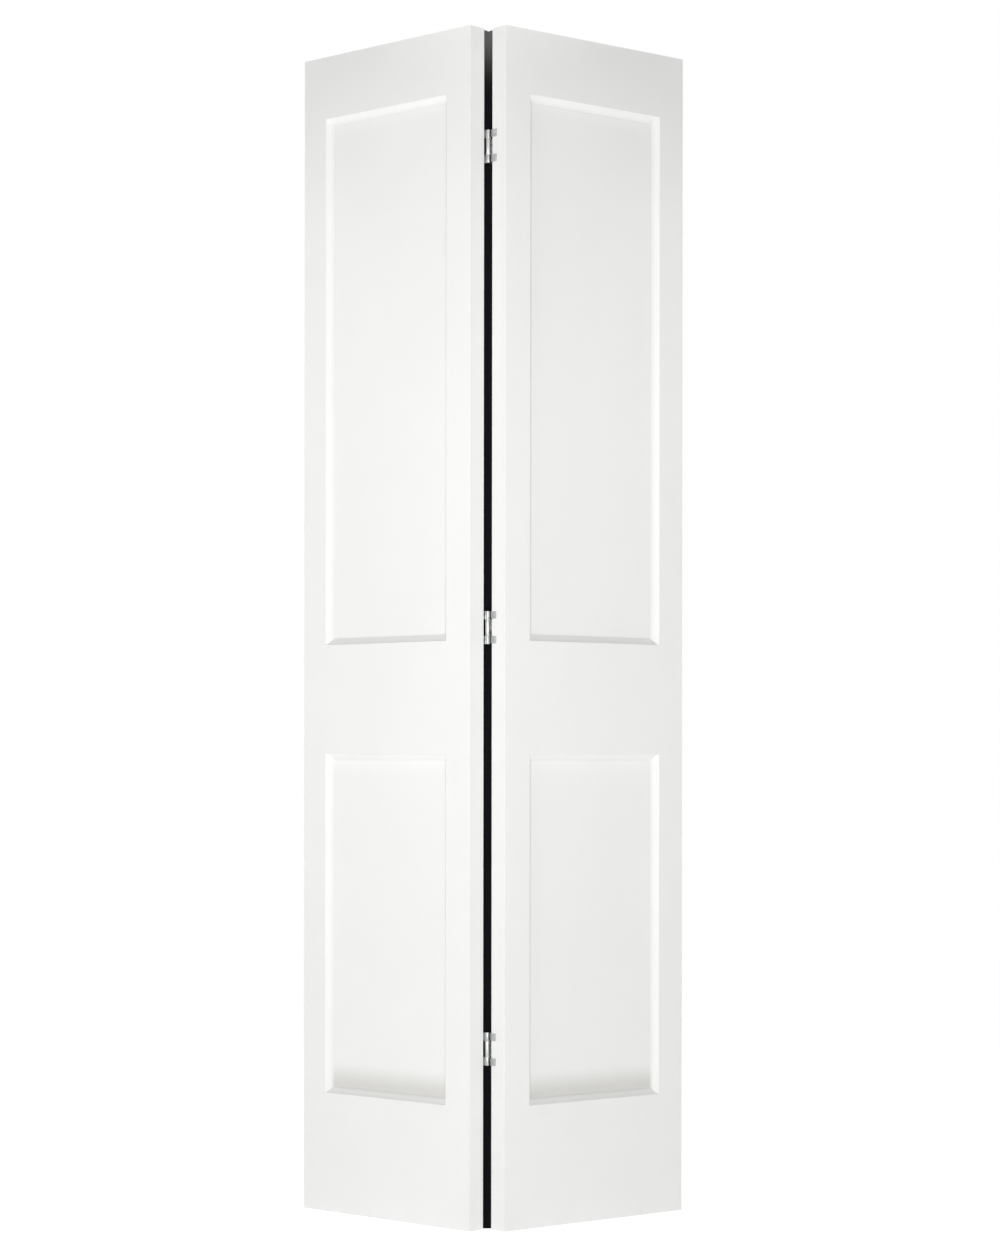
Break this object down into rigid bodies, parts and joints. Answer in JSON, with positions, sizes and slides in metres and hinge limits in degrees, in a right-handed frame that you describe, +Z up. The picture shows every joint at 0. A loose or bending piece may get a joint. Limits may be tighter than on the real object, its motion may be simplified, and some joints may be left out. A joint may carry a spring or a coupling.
{
  "type": "bifold closet door",
  "caption": "Bifold closet door of hinged hollow-core leaves with recessed shaker panels, standing part folded in a V",
  "frame": {"origin": "on the floor, in the middle of the footprint of the door folded as pictured", "axes": "+Z up, -Y toward the viewer and the hinge line, +X to the right along the door"},
  "size_m": [0.661, 0.2842, 2.007],
  "materials": {
    "primed_fibreboard": "smooth white primer on moulded fibreboard, satin-matt",
    "primed_wood": "white primer on solid wood, satin-matt",
    "bare_pine": "bare planed pine",
    "kraft_paper": "bare kraft paper",
    "zinc_plated_steel": "bright zinc plating",
    "nylon": "natural moulded nylon"
  },
  "bodies": {
    "left_leaf": {"left_front_skin": "primed_fibreboard", "left_back_skin": "primed_fibreboard", "left_hinge_stile": "primed_wood", "left_outer_stile": "primed_wood", "left_top_rail": "primed_wood", "left_mid_rail": "bare_pine", "left_bottom_rail": "primed_wood", "left_upper_core": "kraft_paper", "left_lower_core": "kraft_paper", "top_hinge_left_plate": "zinc_plated_steel", "top_hinge_pin": "zinc_plated_steel", "top_hinge_left_upper_screw": "zinc_plated_steel", "top_hinge_left_lower_screw": "zinc_plated_steel", "middle_hinge_left_plate": "zinc_plated_steel", "middle_hinge_pin": "zinc_plated_steel", "middle_hinge_left_upper_screw": "zinc_plated_steel", "middle_hinge_left_lower_screw": "zinc_plated_steel", "bottom_hinge_left_plate": "zinc_plated_steel", "bottom_hinge_pin": "zinc_plated_steel", "bottom_hinge_left_upper_screw": "zinc_plated_steel", "bottom_hinge_left_lower_screw": "zinc_plated_steel"},
    "right_leaf": {"right_front_skin": "primed_fibreboard", "right_back_skin": "primed_fibreboard", "right_hinge_stile": "primed_wood", "right_outer_stile": "primed_wood", "right_top_rail": "primed_wood", "right_mid_rail": "bare_pine", "right_bottom_rail": "primed_wood", "right_upper_core": "kraft_paper", "right_lower_core": "kraft_paper", "top_hinge_right_plate": "zinc_plated_steel", "top_hinge_upper_bushing": "nylon", "top_hinge_lower_bushing": "nylon", "top_hinge_right_upper_screw": "zinc_plated_steel", "top_hinge_right_lower_screw": "zinc_plated_steel", "middle_hinge_right_plate": "zinc_plated_steel", "middle_hinge_upper_bushing": "nylon", "middle_hinge_lower_bushing": "nylon", "middle_hinge_right_upper_screw": "zinc_plated_steel", "middle_hinge_right_lower_screw": "zinc_plated_steel", "bottom_hinge_right_plate": "zinc_plated_steel", "bottom_hinge_upper_bushing": "nylon", "bottom_hinge_lower_bushing": "nylon", "bottom_hinge_right_upper_screw": "zinc_plated_steel", "bottom_hinge_right_lower_screw": "zinc_plated_steel"}
  },
  "joints": [
    {"name": "fold", "type": "hinge", "parent": "left_leaf", "child": "right_leaf", "pos_m": [0, -0.11239, 0], "axis": [0, 0, 1], "range_deg": [-81.2, 98.8]}
  ]
}
